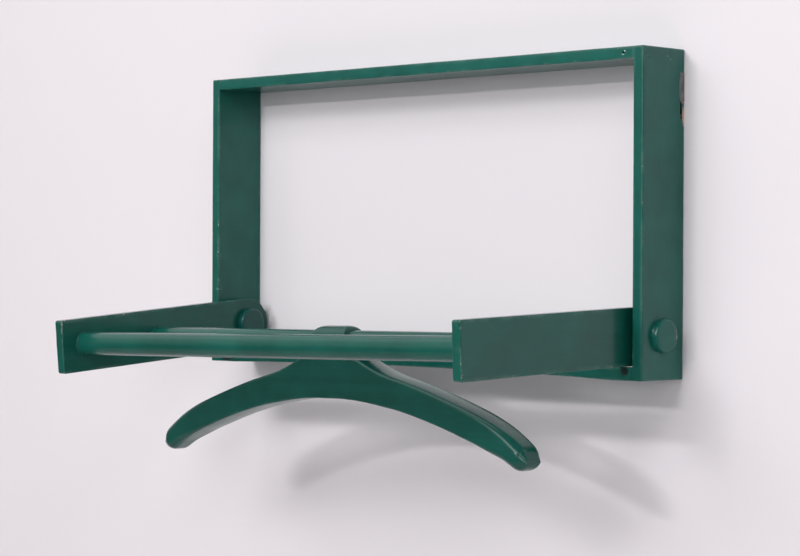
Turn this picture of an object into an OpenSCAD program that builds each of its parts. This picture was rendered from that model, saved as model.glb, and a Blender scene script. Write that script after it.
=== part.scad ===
// Wall-mounted folding clothes valet: a shallow board frame on the wall, two
// side arms that fold up into it, two round trouser rods between the arms and
// a shaped wooden coat hanger that hangs on the rear rod.
// Axes: +X to the right, +Z up, the wall is the plane y = 0 and the front
// faces -Y. The origin lies on the wall, midway between the two keyholes.

/* [Wall frame] */
// Outside width of the frame
frame_w = 520; // [500:5:540]
// Outside height of the frame
frame_h = 265; // [262:1:275]
// Depth of the frame boards, wall to front edge
frame_d = 52.5; // [52:0.5:54]
// Thickness of the frame boards
board_t = 10; // [9.5:0.1:10]
// Upward bow of the bottom rail at its middle
rail_bow = 3.2; // [0:0.1:4]

/* [Arms] */
// Length of an arm from its pivot to its front end
arm_len = 217.6; // [205:0.1:217.6]
// Height of an arm board
arm_h = 46.6; // [44:0.1:46.6]
// Thickness of an arm board
arm_t = 9; // [8.5:0.1:10]
// Distance of the pivot from the wall
pivot_y = 26; // [25:0.1:27]
// Height of the pivot above the underside of the frame
pivot_z = 35.6; // [35.6:0.1:36]
// Droop of the left arm below level when it rests on the bottom rail
tilt_left = 4.6; // [1:0.1:4.6]
// Droop of the right arm below level; the pair is slightly racked
tilt_right = 2.1; // [1:0.1:4.6]

/* [Trouser rods] */
// Diameter of both rods
rod_d = 20; // [18:0.5:20]
// Distance of the front rod from the pivot, along the arm
front_rod_at = 193; // [180:1:195]
// Distance of the rear rod from the pivot, along the arm
rear_rod_at = 110; // [100:1:115]
// How far the rear rod sits below the arm's centre line
rear_rod_drop = 3; // [0:0.1:4]
// Depth of the blind sockets that hold the rod ends
socket_depth = 6; // [4:0.5:7]

/* [Pivot pegs] */
// Diameter of the peg shank
peg_d = 10; // [9:0.5:12]
// Diameter of the round head outside and of the cap inside
head_d = 28; // [26:0.5:30]
// Thickness of the outer head
head_t = 5.5; // [4:0.5:7]
// Thickness of the inner cap
cap_t = 7; // [6:0.5:8]
// Thickness of the spacer ring between stile and arm
spacer_t = 4.3; // [4:0.1:4.5]

/* [Coat hanger] */
// Thickness of the coat hanger, front to back
hanger_t = 26; // [25:0.5:28]
// Sideways position of the hanger on the rear rod
hanger_x = 1; // [-15:0.5:15]
// Slight turn of the shoulders against the bore, left side down
hanger_skew = 0.45; // [0:0.05:0.6]
// Rounding of the hanger tips, seen from above
tip_round = 6; // [3:0.5:10]

/* [Wall plates] */
// Width of a wall plate's leaf
plate_w = 7.4; // [7.2:0.1:7.6]
// Thickness of a wall plate
plate_t = 1.5; // [1.2:0.1:1.6]
// Diameter of the keyhole's round opening
key_d = 6; // [5.5:0.1:6]
// Width of the keyhole's slot
slot_w = 3.4; // [3:0.1:3.6]
// Height of the keyhole's centre above the underside of the frame
key_z = 211; // [205:1:214]

/* [Hidden] */
$fn = 96;

green = [0.13, 0.34, 0.29];
steel = [0.55, 0.55, 0.53];
in_w = frame_w / 2 - board_t;            // half the clear width of the frame
arm_x = in_w - spacer_t - 0.2;           // outer face of an arm
arm_in = arm_x - arm_t;                  // inner face of an arm
run_gap = 0.05;                          // radial play of an arm on its peg
hang_gap = 0.08;                         // radial play of the hanger on its rod
pocket_y = 5.3;                          // depth of the screw-head pocket
plate_lo = -6;                           // plate ends, from the keyhole
plate_hi = 35;
flange_lo = 12;                          // lower end of the plate's side flange
leaf_x = frame_w / 2 - 1.1;              // outer edge of the leaf
plate_x = leaf_x - plate_w / 2;          // middle of a wall plate
plate_screw_z = [18, 29];                // screws above the keyhole
plate_screw_x = plate_x;
pin_y = [-45, -17];                      // frame pins, from the wall

// A point on an arm: l along it from the pivot, n above its centre line
function arm_pt(x, l, n, tilt) =
    [x, -pivot_y - l * cos(tilt) - n * sin(tilt),
        pivot_z - l * sin(tilt) + n * cos(tilt)];

front_a = arm_pt(-arm_in, front_rod_at, 0, tilt_left);
front_b = arm_pt( arm_in, front_rod_at, 0, tilt_right);
rear_a = arm_pt(-arm_in, rear_rod_at, -rear_rod_drop, tilt_left);
rear_b = arm_pt( arm_in, rear_rod_at, -rear_rod_drop, tilt_right);
rear_v = (rear_b - rear_a) / norm(rear_b - rear_a);
rear_mid = rear_a + rear_v * ((hanger_x + arm_in) / rear_v[0]);

// Right half of the hanger's front outline about its rod: over the head, down
// the shoulder, round the tip and back along the underside
tip_x = 218.4;                           // half the hanger's length
hanger_half = [
    [0, 14], [6, 14], [12.2, 14], [15.8, 13.1], [18.2, 11], [19.5, 7.6],
    [19.9, 3], [20.2, -1.5], [21.3, -5.5], [24, -8.8], [30, -12.2],
    [38, -15.6], [48, -19.9], [60, -24.6], [72, -28], [86, -31.3],
    [100, -34.8], [115, -39.1], [130, -43.6], [145, -48.3], [160, -53.3],
    [175, -59], [188, -64.8], [199, -70.6], [207.4, -75.4], [213.2, -79.6],
    [216.6, -83.8], [218.2, -88], [218.2, -91.8], [216.2, -95.6],
    [212, -98], [206.6, -97.6], [199, -93.8], [190, -89], [181, -84.8],
    [167.5, -79.2], [152, -74], [136.5, -69],
    [121.5, -64.6], [107, -60.7], [93, -57.3], [80, -54.6], [68, -52.7],
    [57, -51], [47, -49.6], [39, -48.7], [32, -48], [27, -47.7], [21, -47.3],
    [14, -47.1], [7, -47], [0, -47]];

// Catmull-Rom curve through a list of points, k steps for each stretch
function cr(p0, p1, p2, p3, t) = 0.5 * (2 * p1 + (p2 - p0) * t
    + (2 * p0 - 5 * p1 + 4 * p2 - p3) * t * t
    + (3 * p1 - 3 * p2 + p3 - p0) * t * t * t);
function curve(p, k) = let (n = len(p)) concat(
    [for (i = [0 : n - 2]) for (j = [0 : k - 1])
        cr(p[max(i - 1, 0)], p[i], p[i + 1], p[min(i + 2, n - 1)], j / k)],
    [p[n - 1]]);
function mirrored(p) = [for (i = [len(p) - 2 : -1 : 0]) [-p[i][0], p[i][1]]];

module place() { translate([0, 0, -key_z]) children(); }

// A straight round bar from a to b, with an extra length past each end
module bar(a, b, d, extra = 0) {
    v = b - a;
    l = norm(v);
    translate(a - v * (extra / l))
        rotate([0, acos(v[2] / l), atan2(v[1], v[0])])
            cylinder(h = l + 2 * extra, d = d);
}

// A profile drawn in (y, z), stretched along +X
module along_x(t) { rotate([90, 0, 90]) linear_extrude(t) children(); }

// Turned disc with an eased rim, flat side down
module button(d, t, ease = 1.2) {
    rotate_extrude()
        polygon(concat([[0, 0], [d / 2, 0]],
            [for (a = [0 : 15 : 90])
                [d / 2 - ease + ease * cos(a), t - ease + ease * sin(a)]],
            [[0, t + 0.3]]));
}

// Panel pins through the stiles into the rail ends, both sides of one corner
module pins(grow = 0) {
    for (s = [-1, 1], y = pin_y, z = [board_t / 2, frame_h - board_t / 2])
        translate([s * (frame_w / 2 - 0.6), y, z]) rotate([0, -s * 90, 0]) {
            cylinder(h = 28, d = 1.8, $fn = 24);
            cylinder(h = 1.2, d = 3, $fn = 24);
        }
}

// Void filled by the pins, with the sunk mouth above each head
module pin_holes() {
    pins();
    for (s = [-1, 1], y = pin_y, z = [board_t / 2, frame_h - board_t / 2])
        translate([s * (frame_w / 2 + 0.5), y, z]) rotate([0, -s * 90, 0])
            cylinder(h = 1.1, d = 3, $fn = 24);
}

module rail_blank(z, bow) {
    n = 46;
    xs = [for (i = [0 : n]) -230 + i * 10];
    up = [for (x = xs) [x, z + bow * (1 - x * x / 52900)]];
    rotate([90, 0, 0]) linear_extrude(frame_d)
        polygon(concat([[-in_w, z]], up, [[in_w, z], [in_w, z + board_t]],
            [for (i = [n : -1 : 0]) [up[i][0], up[i][1] + board_t]],
            [[-in_w, z + board_t]]));
}

module top_rail() {
    color(green) place() difference() {
        translate([-in_w, -frame_d, frame_h - board_t])
            cube([2 * in_w, frame_d, board_t]);
        pin_holes();
        // old nail hole in the front edge, near the right end
        translate([in_w - 10.5, -frame_d - 1, frame_h - 5])
            rotate([-90, 0, 0]) cylinder(h = 6, d = 2.2, $fn = 24);
    }
}

module bottom_rail() {
    color(green) place() difference() {
        rail_blank(0, rail_bow);
        pin_holes();
    }
}

// Space for a wall plate, its screw-head pocket and its screws. The pocket
// breaks out through the stile's outer face as a narrow slot.
module plate_pocket() {
    e = 1;
    x0 = leaf_x - plate_w;
    translate([x0, -plate_t, key_z + plate_lo])
        cube([plate_w, plate_t + e, plate_hi - plate_lo]);
    translate([leaf_x - 0.1, -pocket_y, key_z + flange_lo])
        cube([frame_w / 2 - leaf_x + 0.1 + e, pocket_y + e, plate_hi - flange_lo]);
    translate([leaf_x - 1, -plate_t, key_z + flange_lo])
        cube([2, plate_t + e, plate_hi - flange_lo]);
    translate([x0, -pocket_y, key_z + plate_lo])
        cube([plate_w, pocket_y + e, flange_lo - plate_lo]);
    translate([leaf_x - 1, -pocket_y, key_z - 2])
        cube([3 + e, 2.7, flange_lo + 2]);
    translate([plate_x, -16, key_z]) rotate([-90, 0, 0])
        cylinder(h = 16, d = key_d + 0.6);
}

module stile(s) {
    difference() {
        translate([s > 0 ? in_w : -in_w - board_t, -frame_d, 0])
            cube([board_t, frame_d, frame_h]);
        pin_holes();
        translate([s * in_w - s * 1, -pivot_y, pivot_z]) rotate([0, s * 90, 0])
            cylinder(h = board_t + 2, d = peg_d);
        mirror([s > 0 ? 0 : 1, 0, 0]) plate_pocket();
        screws_one(s);
    }
}
module left_stile() { color(green) place() stile(-1); }
module right_stile() { color(green) place() stile(1); }

module frame_pins() { color(steel) place() pins(); }

// Board with a half-round rear end about the pivot and eased front corners
module arm(s, tilt) {
    r = 2.5;
    difference() {
        translate([s > 0 ? arm_in : -arm_x, -pivot_y, pivot_z])
            rotate([tilt, 0, 0]) along_x(arm_t) {
                circle(d = arm_h);
                translate([-arm_len + r, -arm_h / 2])
                    square([arm_len - r, arm_h]);
                translate([-arm_len, -arm_h / 2 + r])
                    square([arm_len, arm_h - 2 * r]);
                for (z = [-1, 1])
                    translate([-arm_len + r, z * (arm_h / 2 - r)])
                        circle(r = r, $fn = 32);
            }
        translate([s * (arm_in - 1), -pivot_y, pivot_z]) rotate([0, s * 90, 0])
            cylinder(h = arm_t + 2, d = peg_d + 2 * run_gap);
        bar(front_a, front_b, rod_d, socket_depth);
        bar(rear_a, rear_b, rod_d, socket_depth);
    }
}
module left_arm() { color(green) place() arm(-1, tilt_left); }
module right_arm() { color(green) place() arm(1, tilt_right); }

module front_rod() {
    color(green) place() bar(front_a, front_b, rod_d, socket_depth);
}
module rear_rod() {
    color(green) place() bar(rear_a, rear_b, rod_d, socket_depth);
}

cap_x = arm_in - 0.2;                    // seat of the inner cap
peg_end = cap_x - 4.2;                   // inner end of the peg

module peg(s) {
    translate([s * frame_w / 2, -pivot_y, pivot_z]) rotate([0, s * 90, 0]) {
        button(head_d, head_t);
        translate([0, 0, -(frame_w / 2 - peg_end)])
            cylinder(h = frame_w / 2 - peg_end + 1, d = peg_d);
    }
}
module left_peg() { color(green) place() peg(-1); }
module right_peg() { color(green) place() peg(1); }

module peg_cap(s) {
    translate([s * cap_x, -pivot_y, pivot_z]) rotate([0, -s * 90, 0])
        difference() {
            button(head_d, cap_t);
            translate([0, 0, -1]) cylinder(h = cap_x - peg_end + 1, d = peg_d);
        }
}
module left_peg_cap() { color(green) place() peg_cap(-1); }
module right_peg_cap() { color(green) place() peg_cap(1); }

module spacer(s) {
    translate([s * (in_w - spacer_t), -pivot_y, pivot_z])
        rotate([0, s * 90, 0]) difference() {
            cylinder(h = spacer_t, d = 26);
            translate([0, 0, -1]) cylinder(h = spacer_t + 2, d = peg_d);
        }
}
module left_spacer() { color(green) place() spacer(-1); }
module right_spacer() { color(green) place() spacer(1); }

// Hanger drawn about its rod: bore along X through the origin
module hanger_local() {
    right = curve(hanger_half, 4);
    half_w = tip_x;
    difference() {
        intersection() {
            rotate([0, -hanger_skew, 0]) intersection() {
                translate([0, hanger_t / 2, 0]) rotate([90, 0, 0])
                    linear_extrude(hanger_t)
                        polygon(concat(right, mirrored(right)));
                translate([0, 0, -120]) linear_extrude(140) {
                    square([2 * (half_w - tip_round), hanger_t], center = true);
                    square([2 * half_w, hanger_t - 2 * tip_round], center = true);
                    for (sx = [-1, 1], sy = [-1, 1])
                        translate([sx * (half_w - tip_round),
                                   sy * (hanger_t / 2 - tip_round)])
                            circle(r = tip_round, $fn = 48);
                }
            }
            // domed top of the head, straight sides below
            union() {
                translate([-260, 0, 1]) rotate([0, 90, 0])
                    cylinder(h = 520, d = hanger_t);
                translate([-260, -hanger_t / 2, -140])
                    cube([520, hanger_t, 141]);
            }
        }
        translate([-60, 0, 0]) rotate([0, 90, 0])
            cylinder(h = 120, d = rod_d + 2 * hang_gap);
    }
}
module coat_hanger() {
    color(green) place() translate(rear_mid)
        rotate([0, -asin(rear_v[2]), atan2(rear_v[1], rear_v[0])])
            hanger_local();
}

// Pressed steel strip with a keyhole and a short side flange
module wall_plate() {
    difference() {
        union() {
            translate([leaf_x - plate_w, -plate_t, key_z + plate_lo])
                cube([plate_w, plate_t, plate_hi - plate_lo]);
            translate([leaf_x - 1, -plate_t, key_z + flange_lo])
                cube([frame_w / 2 - leaf_x + 1, plate_t, plate_hi - flange_lo]);
            translate([leaf_x - 0.1, -pocket_y, key_z + flange_lo])
                cube([frame_w / 2 - leaf_x + 0.1, pocket_y, plate_hi - flange_lo]);
        }
        translate([plate_x, -plate_t - 1, key_z]) rotate([-90, 0, 0])
            cylinder(h = plate_t + 2, d = key_d);
        translate([plate_x, -plate_t - 1, key_z + 8]) rotate([-90, 0, 0])
            cylinder(h = plate_t + 2, d = slot_w, $fn = 48);
        translate([plate_x - slot_w / 2, -plate_t - 1, key_z])
            cube([slot_w, plate_t + 2, 8]);
        screws_one(1);
    }
}
module right_wall_plate() { color(steel) place() wall_plate(); }
module left_wall_plate() { color(steel) place() mirror([1, 0, 0]) wall_plate(); }

// The two countersunk screws of one wall plate
module screws_one(s) {
    for (z = plate_screw_z)
        translate([s * plate_screw_x, 0, key_z + z]) rotate([90, 0, 0]) {
            cylinder(h = 0.9, d1 = 3.4, d2 = 1.8, $fn = 32);
            cylinder(h = 12, d = 1.8, $fn = 32);
        }
}
module plate_screws() { color(steel) place() { screws_one(-1); screws_one(1); } }

top_rail();
bottom_rail();
left_stile();
right_stile();
frame_pins();
left_arm();
right_arm();
front_rod();
rear_rod();
left_peg();
right_peg();
left_peg_cap();
right_peg_cap();
left_spacer();
right_spacer();
coat_hanger();
left_wall_plate();
right_wall_plate();
plate_screws();
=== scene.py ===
# Wall-mounted folding valet: finish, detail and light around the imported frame.
# Everything is in metres, in the part's own frame: +X right, +Z up, wall at y = 0.
# Shapes are worked out in millimetres with z from the frame's underside, then
# moved into the part's frame by place().
import math
import bpy
import bmesh
import numpy as np
from mathutils import Matrix, Vector


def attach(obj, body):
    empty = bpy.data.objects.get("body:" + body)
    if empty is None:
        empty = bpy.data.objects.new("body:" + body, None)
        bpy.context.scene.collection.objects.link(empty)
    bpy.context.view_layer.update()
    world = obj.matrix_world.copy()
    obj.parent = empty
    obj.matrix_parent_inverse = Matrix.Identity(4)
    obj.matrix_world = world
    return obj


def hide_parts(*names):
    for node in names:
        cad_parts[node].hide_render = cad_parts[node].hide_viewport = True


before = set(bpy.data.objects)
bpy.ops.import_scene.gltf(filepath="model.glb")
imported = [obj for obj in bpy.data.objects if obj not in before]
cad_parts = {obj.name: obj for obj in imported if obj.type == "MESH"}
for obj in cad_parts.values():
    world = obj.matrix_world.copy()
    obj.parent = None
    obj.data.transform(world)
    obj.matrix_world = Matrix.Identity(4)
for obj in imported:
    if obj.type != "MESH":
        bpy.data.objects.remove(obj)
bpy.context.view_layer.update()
scene = bpy.context.scene
MM = 0.001
KEY_Z = 211.0


# ------------------------------------------------------------------ camera
def make_camera():
    cam = bpy.data.cameras.new("photo_camera")
    cam.sensor_fit = "HORIZONTAL"
    cam.sensor_width = 36.0
    cam.lens = 103.68
    cam.clip_start, cam.clip_end = 0.05, 30.0
    ob = bpy.data.objects.new("photo_camera", cam)
    scene.collection.objects.link(ob)
    yaw, pitch, roll = (math.radians(a) for a in (44.876, -0.284, 0.278))
    fwd = Vector((-math.sin(yaw) * math.cos(pitch),
                  math.cos(yaw) * math.cos(pitch), math.sin(pitch)))
    right = Vector((math.cos(yaw), math.sin(yaw), 0.0))
    up = right.cross(fwd)
    r2 = math.cos(roll) * right + math.sin(roll) * up
    u2 = -math.sin(roll) * right + math.cos(roll) * up
    m = Matrix.Identity(4)
    for i in range(3):
        m[i][0], m[i][1], m[i][2] = r2[i], u2[i], -fwd[i]
    m[0][3], m[1][3], m[2][3] = 1.402875, -1.469939, -0.121344
    ob.matrix_world = m
    scene.camera = ob


make_camera()


# ------------------------------------------------------------------ noise
def vnoise(p, scale, seed=0.0):
    """Smooth value noise from -1 to 1 at each row of p."""
    q = np.asarray(p, float) / scale + 37.13 * seed
    i = np.floor(q)
    f = q - i
    f = f * f * (3 - 2 * f)

    def h(a):
        v = np.sin(a[:, 0] * 127.1 + a[:, 1] * 311.7 + a[:, 2] * 74.7 + seed * 19.19) * 43758.5453
        return (v - np.floor(v)) * 2 - 1

    out = np.zeros(len(q))
    for dx in (0, 1):
        for dy in (0, 1):
            for dz in (0, 1):
                w = ((f[:, 0] if dx else 1 - f[:, 0]) * (f[:, 1] if dy else 1 - f[:, 1])
                     * (f[:, 2] if dz else 1 - f[:, 2]))
                out += w * h(i + np.array([dx, dy, dz]))
    return out


# ------------------------------------------------------------------ lofts
def catmull(p, per):
    """Smooth curve through the rows of p, with per steps for each stretch."""
    p = np.asarray(p, float)
    n = len(p)
    out = []
    for i in range(n - 1):
        p0, p1, p2, p3 = p[max(i - 1, 0)], p[i], p[i + 1], p[min(i + 2, n - 1)]
        for j in range(per):
            t = j / per
            out.append(0.5 * (2 * p1 + (p2 - p0) * t + (2 * p0 - 5 * p1 + 4 * p2 - p3) * t * t
                              + (3 * p1 - 3 * p2 + p3 - p0) * t ** 3))
    out.append(p[-1])
    return np.array(out)


def section(hu, hv, radii, nu, nv, k):
    """One rounded rectangle in (u, v), anticlockwise from the (+, +) corner."""
    radii = [max(0.03, min(r, hu * 0.999, hv * 0.999)) for r in radii]
    sg = [(1, 1), (-1, 1), (-1, -1), (1, -1)]
    arcs = []
    for i, ((su, sv), r) in enumerate(zip(sg, radii)):
        a = np.radians(90 * i + np.linspace(0, 90, k + 1))
        arcs.append(np.stack([su * (hu - r) + r * np.cos(a), sv * (hv - r) + r * np.sin(a)], 1))
    pts = []
    for i in range(4):
        pts.append(arcs[i])
        a, b = arcs[i][-1], arcs[(i + 1) % 4][0]
        n = nu if i in (0, 2) else nv
        t = np.arange(1, n)[:, None] / n
        pts.append(a + (b - a) * t)
    return np.concatenate(pts)


def loft_grid(stations, nu, nv, k):
    """stations: dicts with c, u, v (vectors), hu, hv, radii. Returns (S, M, 3)."""
    rows = []
    for s in stations:
        q = section(s["hu"], s["hv"], s["radii"], nu, nv, k)
        rows.append(np.asarray(s["c"], float) + q[:, :1] * np.asarray(s["u"], float)
                    + q[:, 1:] * np.asarray(s["v"], float))
    return np.array(rows)


def grid_normals(g):
    ds = np.gradient(g, axis=0)
    dm = np.roll(g, -1, axis=1) - np.roll(g, 1, axis=1)
    n = np.cross(dm, ds)
    if (n * (g - g.reshape(-1, 3).mean(0))).sum() < 0:
        n = -n
    ln = np.linalg.norm(n, axis=2, keepdims=True)
    return n / np.maximum(ln, 1e-9)


def mesh_object(name, verts, faces, smooth=True):
    me = bpy.data.meshes.new(name)
    me.from_pydata([tuple(v) for v in verts], [], faces)
    me.validate()
    bm = bmesh.new()
    bm.from_mesh(me)
    bmesh.ops.recalc_face_normals(bm, faces=bm.faces)
    bm.to_mesh(me)
    bm.free()
    me.polygons.foreach_set("use_smooth", [smooth] * len(me.polygons))
    ob = bpy.data.objects.new(name, me)
    scene.collection.objects.link(ob)
    return ob


def place(p):
    """Millimetres over the frame's underside to metres in the part's frame."""
    q = np.array(p, float)
    q[..., 2] -= KEY_Z
    return q * MM


def grid_object(name, g, closed_point=(False, False)):
    """A closed mesh from a loft grid, its two ends capped."""
    s, m, _ = g.shape
    verts = [g.reshape(-1, 3)]
    count = s * m
    faces = []
    for i in range(s - 1):
        a = i * m
        for j in range(m):
            j2 = (j + 1) % m
            faces.append((a + j, a + j2, a + m + j2, a + m + j))
    for end, row in ((0, 0), (1, s - 1)):
        ring = g[row]
        centre = ring.mean(0)
        base = row * m
        if closed_point[end]:
            verts.append(centre[None])
            for j in range(m):
                faces.append((base + j, base + (j + 1) % m, count))
            count += 1
            continue
        inner = centre + (ring - centre) * 0.93
        verts.append(inner)
        for j in range(m):
            j2 = (j + 1) % m
            faces.append((base + j, base + j2, count + j2, count + j))
        faces.append(tuple(range(count, count + m)))
        count += m
    return mesh_object(name, place(np.concatenate(verts)), faces)


def dent(g, n, centre, radius, depth):
    """Presses a soft hollow into the surface round a point, along its normals."""
    d = np.linalg.norm(g - np.asarray(centre, float), axis=2) / radius
    w = np.clip(1 - d * d, 0, 1) ** 1.5
    g -= n * (w * depth)[..., None]


def chip(g, centre, radius, push):
    """Knocks a small piece off an edge: points near centre move by push."""
    d = np.linalg.norm(g - np.asarray(centre, float), axis=2) / radius
    w = np.clip(1.15 - d * d, 0, 1)
    g += np.asarray(push, float) * w[..., None]


def refine(base, extra, width=3.0, fine=0.45):
    """Station positions, with close ones round each feature."""
    out = list(base)
    for e in extra:
        out += list(np.arange(e - width, e + width + 1e-6, fine))
    out = np.array(sorted(x for x in out if base[0] <= x <= base[-1]))
    keep = [out[0]]
    for x in out[1:]:
        if x - keep[-1] > fine * 0.6:
            keep.append(x)
    keep[-1] = base[-1]
    return np.array(keep)


def board(name, start, w, u, v, length, hu, hv, radii, ends=(0.8, 0.8), step=2.5,
          nu=None, nv=None, k=4, amp=0.10, seed=1, warp=None, radius_at=None,
          features=(), marks=()):
    """A painted board lofted from start along w, with section half sizes hu, hv
    along u, v. Edges are eased, faces ripple slightly, and marks are pressed in."""
    start, w, u, v = (np.asarray(a, float) for a in (start, w, u, v))
    base = np.arange(0, length + 1e-6, step)
    base[-1] = length
    t = refine(base, features) if len(features) else base
    st = []
    ang = np.linspace(math.pi / 2, 0, k + 1)

    def put(x, shrink):
        r = list(radii if radius_at is None else radius_at(x))
        st.append(dict(c=start + w * x, u=u, v=v, hu=hu - shrink, hv=hv - shrink,
                       radii=[max(0.05, a - shrink) for a in r]))

    if ends[0]:
        for a in ang:
            put(ends[0] * (1 - math.sin(a)), ends[0] * (1 - math.cos(a)))
    else:
        put(0, 0)
    for x in t:
        if x > max(ends[0], 0.02) + 0.3 and x < length - max(ends[1], 0.02) - 0.3:
            put(x, 0)
    if ends[1]:
        for a in ang[::-1]:
            put(length - ends[1] * (1 - math.sin(a)), ends[1] * (1 - math.cos(a)))
    else:
        put(length, 0)
    nu = nu or max(3, int(round(2 * hu / step)))
    nv = nv or max(3, int(round(2 * hv / step)))
    g = loft_grid(st, nu, nv, k)
    n = grid_normals(g)
    flat = g.reshape(-1, 3)
    ripple = (0.75 * vnoise(flat, 34, seed) + 0.35 * vnoise(flat, 11, seed + 3)).reshape(g.shape[:2])
    edge = (0.5 * vnoise(flat, 7, seed + 5)).reshape(g.shape[:2])
    # edges wander a little more than faces do
    rel = (g - start) @ np.stack([u, v], 1)
    near = np.clip(1 - np.minimum(hu - np.abs(rel[..., 0]), 1.5) / 1.5, 0, 1) * \
        np.clip(1 - np.minimum(hv - np.abs(rel[..., 1]), 1.5) / 1.5, 0, 1)
    g = g - n * ((ripple + 1.0 + near * (edge + 0.5)) * amp)[..., None]
    for m in marks:
        kind = m[0]
        if kind == "dent":
            dent(g, n, m[1], m[2], m[3])
        else:
            chip(g, m[1], m[2], m[3])
    if warp is not None:
        g = warp(g)
    return grid_object(name, g)


def cut(ob, *cutters, folded=False):
    """Takes the cutters' volume out of ob, for good."""
    for c in cutters:
        mod = ob.modifiers.new("cut", "BOOLEAN")
        mod.operation = "DIFFERENCE"
        mod.solver = "EXACT"
        mod.use_self = folded
        mod.object = c
    dg = bpy.context.evaluated_depsgraph_get()
    me = bpy.data.meshes.new_from_object(ob.evaluated_get(dg))
    ob.modifiers.clear()
    old = ob.data
    ob.data = me
    bpy.data.meshes.remove(old)
    for c in cutters:
        bpy.data.objects.remove(c)
    return ob


def tool_cylinder(a, b, r, n=64, r2=None):
    a, b = np.asarray(a, float), np.asarray(b, float)
    w = (b - a) / np.linalg.norm(b - a)
    u = np.cross(w, [0, 0, 1.0] if abs(w[2]) < 0.9 else [1.0, 0, 0])
    u /= np.linalg.norm(u)
    v = np.cross(w, u)
    th = np.linspace(0, 2 * np.pi, n, endpoint=False)
    r2 = r if r2 is None else r2
    ra = a + r * (np.cos(th)[:, None] * u + np.sin(th)[:, None] * v)
    rb = b + r2 * (np.cos(th)[:, None] * u + np.sin(th)[:, None] * v)
    faces = [(j, (j + 1) % n, n + (j + 1) % n, n + j) for j in range(n)]
    faces += [tuple(range(n))[::-1], tuple(range(n, 2 * n))]
    return mesh_object("tool", place(np.concatenate([ra, rb])), faces, smooth=False)


def tool_box(lo, hi):
    x0, y0, z0 = lo
    x1, y1, z1 = hi
    v = [(x, y, z) for x in (x0, x1) for y in (y0, y1) for z in (z0, z1)]
    f = [(0, 1, 3, 2), (4, 6, 7, 5), (0, 4, 5, 1), (2, 3, 7, 6), (0, 2, 6, 4), (1, 5, 7, 3)]
    return mesh_object("tool", place(v), f, smooth=False)


def sharpen(ob, angle=40):
    """Crisp shading over cut edges, smooth shading elsewhere."""
    bm = bmesh.new()
    bm.from_mesh(ob.data)
    lim = math.radians(angle)
    for e in bm.edges:
        e.smooth = not (len(e.link_faces) == 2 and e.calc_face_angle(0) > lim)
    for f in bm.faces:
        f.smooth = True
    bm.to_mesh(ob.data)
    bm.free()


def weighted(ob):
    mod = ob.modifiers.new("even_normals", "WEIGHTED_NORMAL")
    mod.keep_sharp = True
    mod.weight = 60


X, Y, Z = np.eye(3)
PY, PZ = 26.0, 35.6
W2, H, D, T = 260.0, 265.0, 52.5, 10.0
ARM_IN, ARM_T, ARM_H, ARM_L = 236.5, 9.0, 46.6, 218.5
TILT = {-1: 4.6, 1: 2.1}
SIDE = {-1: "left", 1: "right"}


def arm_pt(x, l, n, tilt):
    t = math.radians(tilt)
    return np.array([x, -PY - l * math.cos(t) - n * math.sin(t),
                     PZ - l * math.sin(t) + n * math.cos(t)])


FRONT = [arm_pt(-ARM_IN, 193, 0, TILT[-1]), arm_pt(ARM_IN, 193, 0, TILT[1])]
REAR = [arm_pt(-ARM_IN, 110, -3, TILT[-1]), arm_pt(ARM_IN, 110, -3, TILT[1])]


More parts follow.
